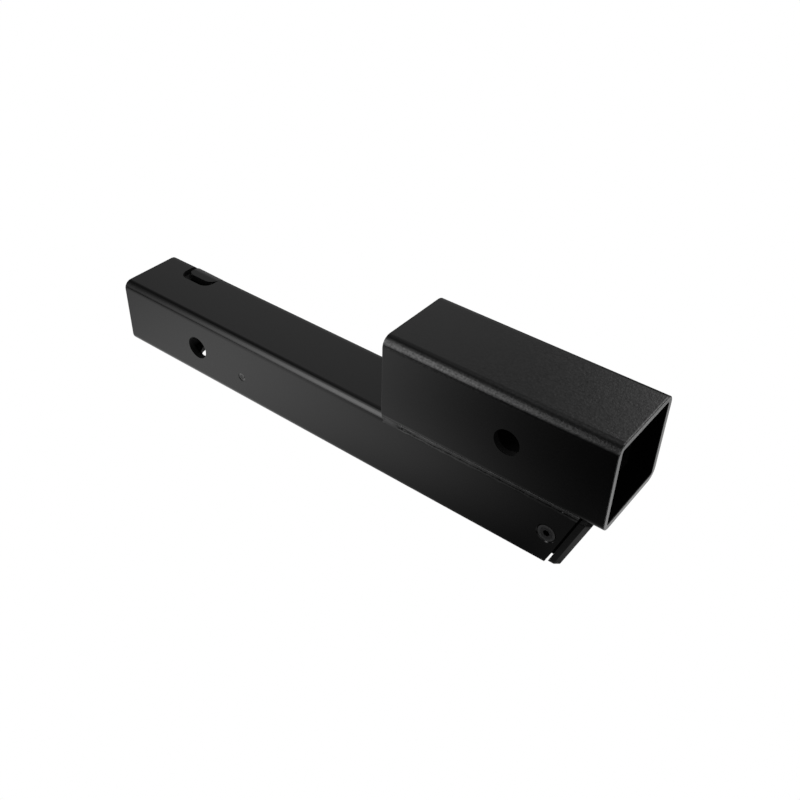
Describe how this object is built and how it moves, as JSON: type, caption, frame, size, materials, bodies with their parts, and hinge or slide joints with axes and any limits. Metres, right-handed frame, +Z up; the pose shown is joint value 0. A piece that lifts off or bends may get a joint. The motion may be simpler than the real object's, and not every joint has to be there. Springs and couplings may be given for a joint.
{
  "type": "hitch receiver extender",
  "caption": "Raised hitch receiver extender: square shank with a screw-driven corner cam, larger receiver tube welded on top of its mitred rear end, chamfered end cap.",
  "frame": {"origin": "centre of the shank's hitch pin hole, on the shank's axis", "axes": "+X along the shank towards the mouth of the upper receiver tube, +Z up, -Y towards the side in the picture, whose upper corner has no cam window"},
  "size_m": [0.3867, 0.06, 0.11],
  "materials": {
    "shank_coat": "black textured powder coat",
    "receiver_coat": "black textured powder coat, thinner on the cut face of the mouth",
    "weld_coat": "weld bead under black powder coat",
    "cam_dark": "smooth satin black",
    "wedge_dark": "dark phosphate",
    "zinc_steel": "bright zinc plate",
    "spring_steel": "dark oiled spring steel",
    "guide_polymer": "moulded black nylon",
    "cap_coat": "satin black",
    "black_oxide": "black oxide"
  },
  "bodies": {
    "frame": {"shank_tube": "shank_coat", "receiver_tube": "receiver_coat", "weld_near": "weld_coat", "weld_far": "weld_coat", "rod_guide": "guide_polymer", "guide_spring_pin": "spring_steel", "end_cap": "cap_coat", "end_cap_screw_near": "black_oxide", "end_cap_screw_far": "black_oxide", "rod_head_washer": "zinc_steel", "ring_washer": "zinc_steel"},
    "rod": {"tension_rod": "zinc_steel", "retaining_ring": "spring_steel", "stop_washer": "zinc_steel", "stop_nut": "zinc_steel"},
    "wedge": {"drive_wedge": "wedge_dark", "wedge_nut": "zinc_steel"},
    "cam": {"cam_block": "cam_dark"}
  },
  "joints": [
    {"name": "wedge_slide", "type": "slide", "parent": "frame", "child": "wedge", "axis": [1, 0, 0], "range_m": [0, 0.01125]},
    {"name": "rod_spin", "type": "hinge", "parent": "frame", "child": "rod", "pos_m": [0.1, 0, -0.013], "axis": [-1, 0, 0], "range_deg": [0, 3241]},
    {"name": "cam_slide", "type": "slide", "parent": "frame", "child": "cam", "axis": [0, 0.7071, 0.7071], "range_m": [0, 0.00302]}
  ],
  "couplings": [
    {"joint": "rod_spin", "follows": "wedge_slide", "rad_per_m": 5026.5},
    {"joint": "cam_slide", "follows": "wedge_slide", "ratio": 0.26795}
  ]
}
